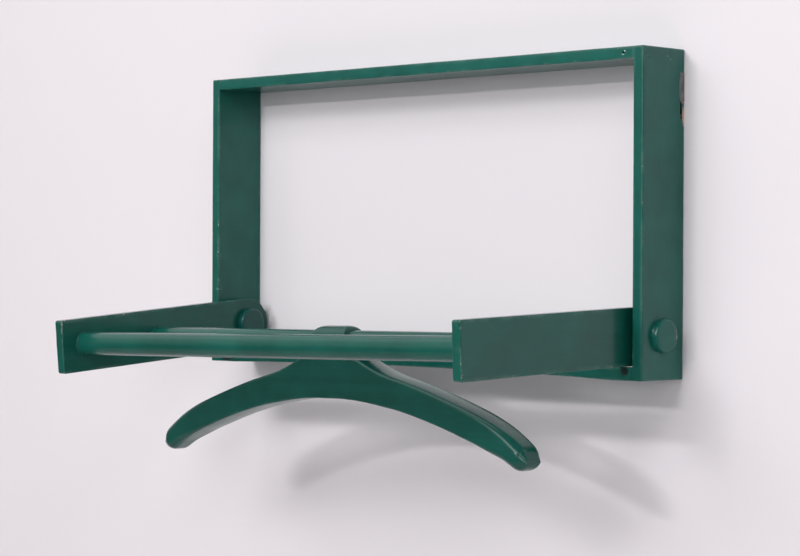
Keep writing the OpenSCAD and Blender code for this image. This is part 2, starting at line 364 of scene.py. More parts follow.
# ------------------------------------------------------------------ frame boards
def stile(side):
    s = side
    rad_out, rad_in = 1.7, 0.9

    def radius_at(x):
        # the inner edges are filled with paint where the rails butt against them
        k = 1.0
        if x < T + 2.0:
            k = np.clip((x - T + 0.5) / 2.5, 0.12, 1)
        if x > H - T - 2.0:
            k = np.clip((H - T + 0.5 - x) / 2.5, 0.12, 1)
        ri = rad_in * k
        rr = 0.6
        # order: (+u +v), (-u +v), (-u -v), (+u -v); u = outward, v = toward the wall
        return [rr, max(0.1, rr * k), ri, rad_out]

    marks, features = [], []
    if s > 0:
        marks += [("dent", (260, -45.7, 255.4), 2.2, 0.5),
                  ("dent", (260, -21.3, 258.1), 1.5, 0.35),
                  ("dent", (260, -17.4, 256.0), 1.5, 0.35),
                  ("dent", (260, -45.0, 5.0), 2.6, 0.25),
                  ("dent", (260, -17.0, 5.2), 2.4, 0.3)]
        features += [255.4, 258.1, 5.0]
    else:
        marks += [("dent", (-260, -45.0, 260.0), 2.4, 0.35),
                  ("dent", (-260, -17.0, 259.8), 2.4, 0.3),
                  ("dent", (-260, -45.0, 5.0), 2.4, 0.3),
                  ("dent", (-260, -17.0, 5.2), 2.4, 0.25),
                  ("chip", (-250.2, -52.5, 68.7), 1.6, (-0.9, 0.8, 0)),
                  ("chip", (-250.2, -52.5, 99.7), 1.4, (-0.7, 0.6, 0)),
                  ("chip", (-250.2, -52.5, 152.0), 1.0, (-0.4, 0.4, 0)),
                  ("chip", (-260, -52.5, 120.0), 1.2, (0.5, 0.5, 0))]
        features += [68.7, 99.7, 152.0, 120.0, 260.0, 5.0]
    c = np.array([s * (W2 - T / 2), -D / 2, 0])
    ob = board(f"{SIDE[s]}_stile_painted", c, Z, X * s, Y, H, T / 2, D / 2, None,
               ends=(1.1, 1.3), k=4, seed=3 + s, radius_at=radius_at, features=features, marks=marks)
    x0, x1 = 251.5, 258.9
    tools = []

    def bx(lo, hi):
        a, b = sorted((s * lo[0], s * hi[0]))
        tools.append(tool_box((a, lo[1], lo[2]), (b, hi[1], hi[2])))

    bx((x0, -1.5, 205), (x1, 1, 246))
    bx((x1 - 0.1, -5.3, 223), (262, 1, 246.01))
    bx((x1 - 1, -1.5, 223), (x1 + 1, 1, 246.02))
    bx((x0, -5.3, 205), (x1 + 0.01, 1, 222.99))
    bx((x1 - 1.01, -5.3, 209), (262, -2.6, 223.01))
    tools.append(tool_cylinder((s * 255.2, -16, 211), (s * 255.2, 1, 211), 3.3))
    tools.append(tool_cylinder((s * 248, -PY, PZ), (s * 262, -PY, PZ), 5.0))
    cut(ob, *tools)
    sharpen(ob)
    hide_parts(f"{SIDE[s]}_stile")
    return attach(ob, "wall_frame")


def bow(g):
    """The rail is bowed up in the middle and a touch fuller at its right end."""
    g = g.copy()
    x = g[..., 0]
    lift = np.clip(1 - (x / 230.0) ** 2, 0, 1)
    full = np.clip((x - 228) / 7.0, 0, 1) * np.clip(g[..., 2] / T, 0, 1)
    g[..., 2] += 3.2 * lift + 1.0 * full
    return g


def rails():
    marks = [("dent", (239.8, -52.5, 260.2), 2.6, 0.35),
             ("dent", (-120, -52.5, 262), 2.5, 0.12),
             ("chip", (60, -52.5, 255), 1.2, (0, 0.35, 0.35)),
             ("chip", (-150, -52.5, 265), 1.3, (0, 0.4, -0.35))]
    top = board("top_rail_painted", (-250, -D / 2, H - T / 2), X, Y, Z, 500, D / 2, T / 2,
                [1.0, 1.5, 0.8, 0.8], ends=(0, 0), k=4, seed=9, features=[489.8, 310, 100, 130], marks=marks)
    cut(top, tool_cylinder((239.8, -60, 260.2), (239.8, -47.5, 260.2), 1.15, 24))
    sharpen(top)
    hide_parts("top_rail")
    bot = board("bottom_rail_painted", (-250, -D / 2, T / 2), X, Y, Z, 500, D / 2, T / 2,
                [0.8, 0.9, 1.2, 0.8], ends=(0, 0), k=4, seed=12, warp=bow,
                features=[13, 489, 495], marks=[
                    ("dent", (243.0, -52.5, 8.0), 4.0, 0.5),
                    ("dent", (-237.7, -52.5, 5.5), 6.5, 0.45)])
    sharpen(bot)
    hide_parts("bottom_rail")
    for o in (top, bot):
        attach(o, "wall_frame")
    return top, bot


# ------------------------------------------------------------------ arms
def arm(side):
    s = side
    tilt = math.radians(TILT[s] + (0.2 if s < 0 else 0.0))
    # l runs forward from the pivot along the arm, n is its upward normal
    L = np.array([0, -math.cos(tilt), -math.sin(tilt)])
    N = np.array([0, -math.sin(tilt), math.cos(tilt)])
    P = np.array([s * (ARM_IN + ARM_T / 2), -PY, PZ])
    hh, a, re = ARM_H / 2, ARM_T / 2, 0.8
    ls, shrink, hs = [], [], []
    # rear half round
    for t in np.linspace(math.pi, math.pi / 2, 40):
        ls.append(hh * math.cos(t))
        hs.append(max(hh * math.sin(t), 0.05))
    body_l = np.arange(2.5, ARM_L - 3.0, 2.5)
    feats = []
    if s > 0:
        feats = [ARM_L - 1.5]
    ls += list(body_l)
    hs += [hh] * len(body_l)
    r = 2.4
    for t in np.linspace(0, math.pi / 2, 7):
        ls.append(ARM_L - r + r * math.sin(t))
        hs.append(hh - r + r * math.cos(t))
    st = []
    for l, h in zip(ls, hs):
        d0, d1 = l + hh, ARM_L - l
        sh = 0.0
        if d0 < re:
            sh = re - math.sqrt(max(re * re - (re - d0) ** 2, 0))
        if d1 < re:
            sh = re - math.sqrt(max(re * re - (re - d1) ** 2, 0))
        # the boards were planed by hand: the left one is a little deeper at the front
        off = (0.35 if s < 0 else -0.2) * np.clip((l - 30) / 60.0, 0, 1)
        # u across the thickness (outward), v up the board
        st.append(dict(c=P + L * l - N * off, u=X * s, v=N, hu=a - sh, hv=h + off,
                       radii=[min(re, a - sh, h)] * 4))
    g = loft_grid(st, 4, 18, 4)
    n = grid_normals(g)
    flat = g.reshape(-1, 3)
    rel_l = (g - P) @ L
    ripple = (0.7 * vnoise(flat, 30, 20 + s) + 0.35 * vnoise(flat, 9, 24 + s)).reshape(g.shape[:2])
    front = np.clip((rel_l - (ARM_L - 4)) / 4, 0, 1)
    wob = (vnoise(flat, 9, 30 + s)).reshape(g.shape[:2])
    out = g - (P + L * rel_l[..., None])
    ln = np.linalg.norm(out, axis=2, keepdims=True)
    direction = out / np.maximum(ln, 1e-6)
    g = g - direction * ((ripple + 1.0) * 0.07)[..., None]
    g = g - L * (front * (wob + 1.0) * 0.22)[..., None]
    if s > 0:
        edge = P + L * ARM_L + X * a
        for off, dep in ((-3.4, 0.9), (2.4, 0.8), (19.5, 0.7), (-16.0, 0.5)):
            chip(g, edge + N * off, 1.7, -X * dep * 0.7 - L * dep)
    else:
        edge = P + L * ARM_L - X * s * a
        for off, dep in ((9, 0.5), (-11, 0.5), (18, 0.5)):
            chip(g, edge + N * off, 1.7, X * s * dep * 0.7 - L * dep)
    ob = grid_object(f"{SIDE[s]}_arm_painted", g)
    tools = [tool_cylinder((s * 230, -PY, PZ), (s * 250, -PY, PZ), 5.05)]
    for a_, b_ in (FRONT, REAR):
        w = (b_ - a_) / np.linalg.norm(b_ - a_)
        e = a_ if s < 0 else b_
        tools.append(tool_cylinder(e + w * s * 6.0, e - w * s * 3.0, 10.0))
    cut(ob, *tools)
    sharpen(ob)
    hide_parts(f"{SIDE[s]}_arm")
    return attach(ob, "folding_arms")


# ------------------------------------------------------------------ turned pieces
def turned(name, a, b, prof, n=96, amp=0.05, seed=1, k_round=0.0):
    """Turned piece: prof is (distance from a along a-b, radius) pairs."""
    a, b = np.asarray(a, float), np.asarray(b, float)
    w = (b - a) / np.linalg.norm(b - a)
    u = np.cross(w, Z)
    u /= np.linalg.norm(u)
    v = np.cross(w, u)
    th = np.linspace(0, 2 * np.pi, n, endpoint=False)
    circ = np.cos(th)[:, None] * u + np.sin(th)[:, None] * v
    prof = np.asarray(prof, float)
    g = a + prof[:, :1, None] * w + prof[:, 1:, None] * circ[None]
    flat = g.reshape(-1, 3)
    d = (0.7 * vnoise(flat, 26, seed) + 0.4 * vnoise(flat, 8, seed + 2)).reshape(g.shape[:2])
    return g - circ[None] * (amp * (d + 1.0) * np.clip(prof[:, 1:] / 4, 0, 1))[..., None]


def rod(name, ends, node, seed):
    a, b = ends
    w = (b - a) / np.linalg.norm(b - a)
    ln = np.linalg.norm(b - a)
    a2 = a - w * 6.0
    tot = ln + 12.0
    prof = [(0.0, 9.4), (0.6, 9.95)]
    # a bead of paint runs round each glued joint
    bead = [(5.9, 10.0), (6.0, 10.6), (6.3, 10.68), (6.7, 10.55), (7.2, 10.3), (7.8, 10.1),
            (8.6, 10.02), (10.5, 10.0)]
    prof += bead
    prof += [(x, 10.0) for x in np.arange(14, tot - 13, 4.0)]
    prof += [(tot - x, r) for x, r in bead[::-1]]
    prof += [(tot - 0.6, 9.95), (tot, 9.4)]
    g = turned(name, a2, b, prof, amp=0.045, seed=seed)
    # the beads are brushed on, so they are uneven
    p = np.array([x for x, _ in prof])
    isb = ((p > 5.95) & (p < 9.5)) | ((p < tot - 5.95) & (p > tot - 9.5))
    flat = g.reshape(-1, 3)
    nn = vnoise(flat, 6, seed + 9).reshape(g.shape[:2])
    axis = a2 + w * p[:, None]
    out = g - axis[:, None, :]
    out = out / np.linalg.norm(out, axis=2, keepdims=True)
    g = g + out * (isb[:, None] * nn * 0.22)[..., None]
    ob = grid_object(name, g)
    sharpen(ob, 50)
    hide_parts(node)
    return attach(ob, "folding_arms")


def peg(side):
    s = side
    a = np.array([s * 232.1, -PY, PZ])
    b = np.array([s * 270.0, -PY, PZ])
    o = 260.0 - 232.1
    prof = [(0, 4.6), (0.4, 5.0), (10, 5.0), (18, 5.0), (o - 0.3, 5.0)]
    head = [(o - 0.25, 14.2), (o + 0.0, 14.3), (o + 0.35, 14.15), (o + 0.9, 13.95), (o + 2.2, 13.75),
            (o + 3.6, 13.55), (o + 4.3, 13.3), (o + 4.85, 12.85), (o + 5.2, 12.2), (o + 5.35, 11.3),
            (o + 5.42, 9.5), (o + 5.46, 7.5), (o + 5.5, 5.0), (o + 5.5, 2.5), (o + 5.5, 0.8)]
    g = turned("peg", a, b, prof + head, amp=0.06, seed=40 + s)
    p = np.array([x for x, _ in prof + head])
    flat = g.reshape(-1, 3)
    # hand-cut head: its rim wanders
    hm = (p > o - 0.3)[:, None]
    ang = vnoise(flat, 9, 44 + s).reshape(g.shape[:2])
    centre = np.array([0, -PY, PZ])
    out = g - centre
    out[..., 0] = 0
    ln = np.linalg.norm(out, axis=2, keepdims=True)
    out = out / np.maximum(ln, 1e-6)
    g = g + out * (hm * ang * 0.22 * np.clip(ln[..., 0] / 10, 0, 1))[..., None]
    g = g + X * s * (hm * ang * 0.10)[..., None]
    if s > 0:
        # rim knocked back to bare wood on the wall side
        for z, r_, dep in ((45.2, 2.4, 1.2), (42.2, 2.6, 1.3), (38.6, 2.8, 1.5), (35.2, 2.6, 1.2), (32.6, 2.0, 0.7)):
            dz = z - PZ
            y = -PY + math.sqrt(max(13.2 ** 2 - dz * dz, 0))
            chip(g, (265.3, y, z), r_, (-dep * 0.20, -dep * 0.20, 0))
    ob = grid_object(f"{SIDE[s]}_peg_painted", g)
    sharpen(ob, 55)
    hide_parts(f"{SIDE[s]}_peg")
    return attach(ob, "wall_frame")


def peg_cap(side):
    s = side
    a = np.array([s * 236.3, -PY, PZ])
    b = np.array([s * 220.0, -PY, PZ])
    prof = [(0, 5.01), (0, 9.0), (0, 13.2), (0.25, 13.75), (0.7, 14.0), (3.0, 14.0), (5.2, 13.9), (6.0, 13.6),
            (6.5, 13.1), (6.85, 12.3), (7.0, 11.2), (7.05, 9), (7.12, 6), (7.2, 3), (7.22, 0.8)]
    g = turned("cap", a, b, prof, amp=0.05, seed=50 + s)
    ob = grid_object(f"{SIDE[s]}_peg_cap_painted", g)
    cut(ob, tool_cylinder((s * 237.5, -PY, PZ), (s * 232.0, -PY, PZ), 5.01))
    sharpen(ob, 55)
    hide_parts(f"{SIDE[s]}_peg_cap")
    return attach(ob, "wall_frame")


# ------------------------------------------------------------------ coat hanger
def hanger():
    # matching points along the top and the underside of the right half
    pairs = [
        ((0, 14), (0, -47)), ((6, 14), (5.5, -47)), ((12.2, 14), (11, -47)),
        ((15.8, 13.1), (14, -47.05)), ((18.2, 11), (16, -47.1)), ((19.5, 7.6), (17.6, -47.15)),
        ((19.9, 3), (19.2, -47.2)), ((20.2, -1.5), (21, -47.3)), ((21.3, -5.5), (23.6, -47.5)),
        ((24, -8.8), (27, -47.7)), ((30, -12.2), (32, -48)), ((38, -15.6), (39, -48.7)),
        ((48, -19.9), (47, -49.6)), ((60, -24.6), (57, -51)), ((72, -28), (68, -52.7)),
        ((86, -31.3), (80, -54.6)), ((100, -34.8), (93, -57.3)), ((115, -39.1), (107, -60.7)),
        ((130, -43.6), (121.5, -64.6)), ((145, -48.3), (136.5, -69)), ((160, -53.3), (152, -74)),
        ((175, -59), (166, -78.7)), ((188, -64.8), (180, -84.4)), ((199, -70.6), (191, -89.5)),
        ((207.4, -75.4), (200.5, -94.6)), ((213.2, -79.6), (207.2, -97.9)),
        ((216.6, -83.8), (212.2, -98)), ((218.2, -88), (216.2, -95.6)),
        ((218.45, -90.6), (217.9, -92.6)),
    ]
    tt = catmull([p[0] for p in pairs], 4)
    bb = catmull([p[1] for p in pairs], 4)
    end = np.array([219.0, -91.6])
    half, re = 13.0, 8.0
    right = []
    for t_, b_ in zip(tt, bb):
        v = (t_ - b_) / np.linalg.norm(t_ - b_)
        x, top = t_[0], t_[1]
        # the head is a half-round dome; stations there run to its crown and are
        # then brought down softly to the outline
        head = x < 24 and top > 0.5
        if head:
            t_ = t_ + v * (14.0 - top) / v[1]
        c = (t_ + b_) / 2
        hv = max(np.linalg.norm(t_ - b_) / 2, 0.12)
        d = max(end[0] - max(t_[0], b_[0]) + 0.35, 0.35) if c[0] > 200 else re
        sh = 0.0 if d >= re else re - math.sqrt(max(re * re - (re - d) ** 2, 0))
        rt = np.interp(x, [20, 25, 60, 110, 170, 195, 208, 219], [2.6, 1.9, 2.0, 2.4, 3.0, 5.0, 7.5, 7.5])
        rb = np.interp(x, [25, 120, 160, 185, 203, 219], [1.2, 1.4, 1.9, 3.4, 8.0, 8.5])
        crown = np.interp(x, [20, 30, 60, 170, 200, 215], [0.3, 1.2, 1.8, 1.8, 1.0, 0.0])
        under = np.interp(x, [20, 60, 170, 200], [0.4, 1.0, 1.0, 0.0])
        right.append((c, v, half - sh, hv, 12.99 if head else rt, rb,
                      top if head else None, 0.0 if head else crown, under))
    st, extra = [], []
    for sgn, seq in ((-1, right[:0:-1]), (1, right)):
        for c, v, hu, hv, rt, rb, lim, crown, under in seq:
            cc = np.array([sgn * c[0], 0, c[1]])
            vv = np.array([sgn * v[0], 0, v[1]])
            # u is the back-to-front axis; u x v runs along +X
            st.append(dict(c=cc, u=Y, v=vv, hu=hu, hv=hv,
                           radii=[min(rt, hu), min(rt, hu), min(rb, hu), min(rb, hu)]))
            extra.append((lim, crown, under))
    g = loft_grid(st, 12, 14, 9)
    for i, (s_, (lim, crown, under)) in enumerate(zip(st, extra)):
        qv = (g[i] - s_["c"]) @ s_["v"]
        dome = np.clip(1 - (g[i, :, 1] / s_["hu"]) ** 2, 0, 1)
        lift = np.where(qv > 0, crown, -under) * dome
        g[i] += s_["v"] * lift[:, None]
        if lim is not None:
            z, kk, lim = g[i, :, 2], 2.5, lim + 0.9
            h = np.clip(0.5 + 0.5 * (lim - z) / kk, 0, 1)
            zn = lim + (z - lim) * h - kk * h * (1 - h)
            zn = np.where(z > -4.0, zn, z)
            g[i] += s_["v"] * ((zn - z) / s_["v"][2])[:, None]
    n = grid_normals(g)
    flat = g.reshape(-1, 3)
    ripple = (0.8 * vnoise(flat, 38, 61) + 0.35 * vnoise(flat, 13, 63)).reshape(g.shape[:2])
    calm = np.clip((np.abs(g[..., 0]) - 18) / 10, 0.25, 1)
    calm = calm * np.clip((212 - np.abs(g[..., 0])) / 12, 0, 1)
    g = g - n * ((ripple + 1.0) * 0.14 * calm)[..., None]
    sk = math.radians(0.45)
    rot = np.array([[math.cos(sk), 0, -math.sin(sk)], [0, 1, 0], [math.sin(sk), 0, math.cos(sk)]])
    g = g @ rot.T
    # hang it on the rear rod
    a, b = REAR
    w = (b - a) / np.linalg.norm(b - a)
    mid = a + w * ((1.0 + ARM_IN) / w[0])
    az, el = math.atan2(w[1], w[0]), math.asin(w[2])
    rz = np.array([[math.cos(az), -math.sin(az), 0], [math.sin(az), math.cos(az), 0], [0, 0, 1]])
    ry = np.array([[math.cos(-el), 0, math.sin(-el)], [0, 1, 0], [-math.sin(-el), 0, math.cos(-el)]])
    g = g @ (rz @ ry).T + mid
    ob = grid_object("coat_hanger_carved", g, (True, True))
    cut(ob, tool_cylinder(mid - w * 60, mid + w * 60, 10.22, 96), folded=True)
    sharpen(ob, 42)
    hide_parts("coat_hanger")
    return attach(ob, "hanger")


PAINTED = []
for sgn in (-1, 1):
    PAINTED.append(stile(sgn))
    PAINTED.append(arm(sgn))
    PAINTED.append(peg(sgn))
    PAINTED.append(peg_cap(sgn))
PAINTED += list(rails())
PAINTED.append(rod("front_rod_painted", FRONT, "front_rod", 71))
PAINTED.append(rod("rear_rod_painted", REAR, "rear_rod", 75))
PAINTED.append(hanger())


# ------------------------------------------------------------------ edge wear
def mark_edges(ob, low=0.14, span=0.5):
    """Stores how sharply each point of the mesh is turned outward, 0 to 1."""
    me = ob.data
    n = len(me.vertices)
    co = np.empty(n * 3)
    no = np.empty(n * 3)
    me.vertices.foreach_get("co", co)
    me.vertices.foreach_get("normal", no)
    co, no = co.reshape(-1, 3) / MM, no.reshape(-1, 3)
    ed = np.empty(len(me.edges) * 2, dtype=np.int64)
    me.edges.foreach_get("vertices", ed)
    a, b = ed.reshape(-1, 2).T
    d = co[b] - co[a]
    l2 = np.maximum((d * d).sum(1), 1e-4)
    # curvature along each edge, outward positive; the sharpest one counts
    ka = -2 * (d * no[a]).sum(1) / l2
    kb = 2 * (d * no[b]).sum(1) / l2
    k = np.full(n, -1e3)
    np.maximum.at(k, a, ka)
    np.maximum.at(k, b, kb)
    e = np.clip((k - low) / span, 0, 1)
    at = me.attributes.new("edge", "FLOAT", "POINT")
    at.data.foreach_set("value", e.astype(np.float32))


for o in PAINTED:
    mark_edges(o)


# ------------------------------------------------------------------ materials
class Tree:
    """A material being wired up."""

    def __init__(self, name):
        self.mat = bpy.data.materials.new(name)
        self.mat.use_nodes = True
        self.n, self.l = self.mat.node_tree.nodes, self.mat.node_tree.links
        self.n.clear()
        self.out = self.n.new("ShaderNodeOutputMaterial")

    def put(self, sock, v):
        if isinstance(v, bpy.types.NodeSocket):
            self.l.new(v, sock)
        elif v is not None:
            sock.default_value = v

    def math(self, op, a, b=None, c=None, clamp=False):
        m = self.n.new("ShaderNodeMath")
        m.operation, m.use_clamp = op, clamp
        for i, v in enumerate((a, b, c)):
            self.put(m.inputs[i], v)
        return m.outputs[0]

    def noise(self, vec, scale, detail=2.0, rough=0.5):
        t = self.n.new("ShaderNodeTexNoise")
        self.put(t.inputs["Vector"], vec)
        t.inputs["Scale"].default_value = scale
        t.inputs["Detail"].default_value = detail
        t.inputs["Roughness"].default_value = rough
        return t.outputs["Fac"]

    def mapping(self, scale, loc=(0, 0, 0)):
        tc = self.n.new("ShaderNodeTexCoord")
        m = self.n.new("ShaderNodeMapping")
        m.inputs["Scale"].default_value = scale
        m.inputs["Location"].default_value = loc
        self.l.new(tc.outputs["Object"], m.inputs["Vector"])
        return m.outputs[0]

    def ramp(self, fac, lo, hi):
        m = self.n.new("ShaderNodeMapRange")
        m.interpolation_type = "SMOOTHSTEP"
        self.put(m.inputs["Value"], fac)
        m.inputs["From Min"].default_value = lo
        m.inputs["From Max"].default_value = hi
        return m.outputs[0]

    def mix(self, fac, a, b, mode="MIX"):
        m = self.n.new("ShaderNodeMix")
        m.data_type, m.blend_type = "RGBA", mode
        self.put(m.inputs[0], fac)
        self.put(m.inputs[6], a)
        self.put(m.inputs[7], b)
        return m.outputs[2]

    def bump(self, height, distance, strength=1.0, normal=None):
        m = self.n.new("ShaderNodeBump")
        m.inputs["Strength"].default_value = strength
        m.inputs["Distance"].default_value = distance
        self.put(m.inputs["Height"], height)
        self.put(m.inputs["Normal"], normal)
        return m.outputs[0]

    def spot(self, at, size, vec=None):
        """1 inside an ellipsoid round a point given in mm, with ragged edges."""
        tc = self.n.new("ShaderNodeTexCoord")
        sub = self.n.new("ShaderNodeVectorMath")
        sub.operation = "SUBTRACT"
        self.l.new(tc.outputs["Object"], sub.inputs[0])
        sub.inputs[1].default_value = (at[0] * MM, at[1] * MM, (at[2] - KEY_Z) * MM)
        div = self.n.new("ShaderNodeVectorMath")
        div.operation = "DIVIDE"
        self.l.new(sub.outputs[0], div.inputs[0])
        div.inputs[1].default_value = tuple(max(v, 0.1) * MM for v in size)
        ln = self.n.new("ShaderNodeVectorMath")
        ln.operation = "LENGTH"
        self.l.new(div.outputs[0], ln.inputs[0])
        rag = self.math("MULTIPLY_ADD", self.noise(tc.outputs["Object"], 900.0, 2.0), 1.1, -0.55)
        d = self.math("ADD", ln.outputs[1], rag)
        return self.ramp(self.math("SUBTRACT", 1.0, d), -0.05, 0.12)


# One green paint, made lighter for the frame and darker for the arms and rods, the hanger and the left cap: painted
# light and painted shade for how much light each piece gets.
GREEN_LIGHT_AND_SHADE = {"frame": (0.0050, 0.102, 0.080, 1), "arms": (0.0050, 0.088, 0.067, 1),
         "hanger": (0.0042, 0.075, 0.059, 1), "cap": (0.0045, 0.070, 0.064, 1)}
WORN = (0.085, 0.20, 0.165, 1)
BARE = (0.62, 0.40, 0.33, 1)
LACQUERS = {}


def lacquer(tone, axis, spots=(), wear=1.0, name=None):
    """Brushed green enamel: brush marks run along axis, edges are a little worn. Each tone is the one green made
    lighter or darker per piece, as painted light and shade, and some spots are painted shade and painted glints.
    """
    key = (tone, axis, tuple(spots), wear)
    if key in LACQUERS:
        return LACQUERS[key]
    t = Tree(name or f"green_enamel_{tone}_{axis}")
    along = [1.0, 1.0, 1.0]
    along["xyz".index(axis)] = 0.045
    vec = t.mapping(tuple(along))
    plain = t.mapping((1, 1, 1))
    streak = t.noise(vec, 420.0, 3.0, 0.55)
    broad = t.noise(plain, 14.0, 2.0, 0.5)
    cloud = t.noise(plain, 55.0, 3.0, 0.55)
    base = GREEN_LIGHT_AND_SHADE[tone]
    dark = tuple(c * 0.80 for c in base[:3]) + (1,)
    light = tuple(min(c * 1.17 + 0.0015, 1) for c in base[:3]) + (1,)
    tone_f = t.math("ADD", t.math("MULTIPLY", t.ramp(broad, 0.3, 0.7), 0.55),
                    t.math("ADD", t.math("MULTIPLY", t.ramp(cloud, 0.3, 0.7), 0.25),
                           t.math("MULTIPLY", t.ramp(streak, 0.25, 0.75), 0.20)))
    col = t.mix(tone_f, dark, light)
    edge = t.n.new("ShaderNodeAttribute")
    edge.attribute_name = "edge"
    e = edge.outputs["Fac"]
    fine = t.noise(plain, 620.0, 4.0, 0.62)
    patch = t.noise(plain, 48.0, 2.0, 0.5)
    # paint is thin and rubbed along the edges
    thin = t.math("MULTIPLY", t.math("MULTIPLY", e, t.ramp(patch, 0.42, 0.68)), 0.42 * wear, clamp=True)
    col = t.mix(thin, col, WORN)
    # small flecks where it has chipped
    fl = t.math("MULTIPLY", t.math("MULTIPLY", t.ramp(e, 0.35, 0.9), t.ramp(fine, 0.645, 0.70)),
                t.math("MULTIPLY", t.ramp(patch, 0.47, 0.60), min(wear, 1.0) * 0.9), clamp=True)
    col = t.mix(fl, col, BARE)
    chip_and_light_spots = None
    # spots mix in chips, bare wood and paint specks, and also painted shade and painted glints
    for at, size, tint in spots:
        m = t.spot(at, size)
        m = t.math("MULTIPLY", m, 0.95)
        col = t.mix(m, col, tuple(tint) + (1,))
        chip_and_light_spots = m if chip_and_light_spots is None else t.math("MAXIMUM", chip_and_light_spots, m)
    b = t.n.new("ShaderNodeBsdfPrincipled")
    t.l.new(col, b.inputs["Base Color"])
    rough = t.math("ADD", t.math("MULTIPLY_ADD", cloud, 0.10, 0.17), t.math("MULTIPLY", e, 0.04))
    rough = t.math("ADD", rough, t.math("MULTIPLY", fl, 0.3))
    if chip_and_light_spots is not None:
        rough = t.math("ADD", rough, t.math("MULTIPLY", chip_and_light_spots, 0.4), clamp=True)
    t.l.new(rough, b.inputs["Roughness"])
    b.inputs["IOR"].default_value = 1.42
    peel = t.noise(plain, 130.0, 2.0, 0.5)
    nrm = t.bump(peel, 0.00010, 0.55)
    nrm = t.bump(streak, 0.000035, 0.8, nrm)
    nrm = t.bump(t.math("SUBTRACT", 1.0, fl), 0.00012, 0.8, nrm)
    t.l.new(nrm, b.inputs["Normal"])
    t.l.new(b.outputs[0], t.out.inputs[0])
    LACQUERS[key] = t.mat
    return t.mat


def metal(name, colour, rough, scale, axis="z"):
    t = Tree(name)
    along = [1.0, 1.0, 1.0]
    along["xyz".index(axis)] = 0.12
    vec = t.mapping(tuple(along))
    plain = t.mapping((1, 1, 1))
    n1 = t.noise(plain, scale, 4.0, 0.6)
    n2 = t.noise(vec, scale * 9, 2.0, 0.5)
    dull = tuple(c * 0.62 for c in colour[:3]) + (1,)
    b = t.n.new("ShaderNodeBsdfPrincipled")
    t.l.new(t.mix(t.ramp(n1, 0.35, 0.68), colour, dull), b.inputs["Base Color"])
    b.inputs["Metallic"].default_value = 0.95
    t.l.new(t.math("MULTIPLY_ADD", n1, 0.30, rough - 0.12), b.inputs["Roughness"])
    t.l.new(t.bump(n2, 0.00002, 0.7, t.bump(n1, 0.00004, 0.6)), b.inputs["Normal"])
    t.l.new(b.outputs[0], t.out.inputs[0])
    return t.mat


PALE = (0.70, 0.60, 0.56)
SPECK = (0.12, 0.24, 0.21)
# near-black for the painted shade on the bottom rail under each arm's rear end
UNDER_ARM_SHADE = (0.009, 0.018, 0.019)
SPOTS = {
    "right_stile": (((260, -0.9, 211), (1.8, 1.5, 8.0), (0.62, 0.38, 0.31)),
                    ((260, -3.0, 222.5), (1.2, 2.2, 1.0), (0.50, 0.30, 0.24)),
                    ((260, -5.6, 234), (0.8, 0.5, 9.0), (0.20, 0.26, 0.23)),
                    ((260, -21.3, 258.1), (0.6, 1.0, 0.5), SPECK),
                    ((260, -17.4, 256.0), (0.6, 0.8, 0.5), SPECK),
                    # painted shade: a near-black spot inside the open nail-hole dent
                    ((260, -45.7, 255.2), (0.5, 1.2, 0.7), (0.006, 0.03, 0.03))),
    "left_stile": (((-250.4, -52.2, 68.7), (1.2, 1.0, 1.5), (0.45, 0.52, 0.47)),
                   ((-250.3, -52.3, 99.7), (1.0, 0.9, 1.1), SPECK),
                   ((-250.2, -52.4, 128.0), (0.8, 0.6, 1.2), (0.2, 0.34, 0.3)),
                   ((-250.2, -52.4, 152.0), (0.7, 0.6, 0.9), SPECK)),
    # painted shade: near-black patches on the rail's front, right under each arm's rear end
    "bottom_rail": (((242.8, -52.5, 7.6), (4.1, 1.2, 3.1), UNDER_ARM_SHADE),
                    ((-237.7, -52.5, 4.6), (7.9, 1.2, 3.6), UNDER_ARM_SHADE)),
    # painted highlights: the first two spots are pale glints on the rim of the nail hole; the third is a paint speck
    "top_rail": (((241.0, -52.5, 261.2), (0.9, 0.6, 0.5), (0.75, 0.80, 0.76)),
                 ((239.3, -52.5, 258.7), (1.2, 0.6, 0.4), (0.5, 0.6, 0.56)),
                 ((212, -52.3, 255.3), (0.9, 0.7, 0.6), SPECK)),
    "right_arm": (((245.4, -244.2, 24.2), (0.7, 0.8, 1.1), (0.26, 0.25, 0.19)),
                  ((245.4, -244.0, 18.6), (0.7, 0.8, 0.9), (0.24, 0.23, 0.18)),
                  ((245.4, -244.5, 45.0), (0.6, 0.7, 1.0), (0.14, 0.20, 0.16)),
                  ((245.4, -243.5, 8.5), (0.7, 1.2, 0.7), (0.18, 0.22, 0.18))),
    "left_arm": (((-236.6, -244.5, 34), (0.8, 0.8, 8.0), (0.13, 0.22, 0.18)),
                 ((-236.6, -244.1, 16), (0.6, 0.6, 10.0), (0.09, 0.18, 0.15)),
                 ((-236.6, -244.3, 37.5), (0.7, 0.7, 1.0), (0.30, 0.34, 0.30))),
    "right_peg": (((265.3, -13.2, 40.5), (1.6, 1.7, 4.6), (0.72, 0.50, 0.42)),
                  ((265.3, -13.6, 34.3), (1.4, 1.3, 2.6), (0.66, 0.45, 0.37))),
}
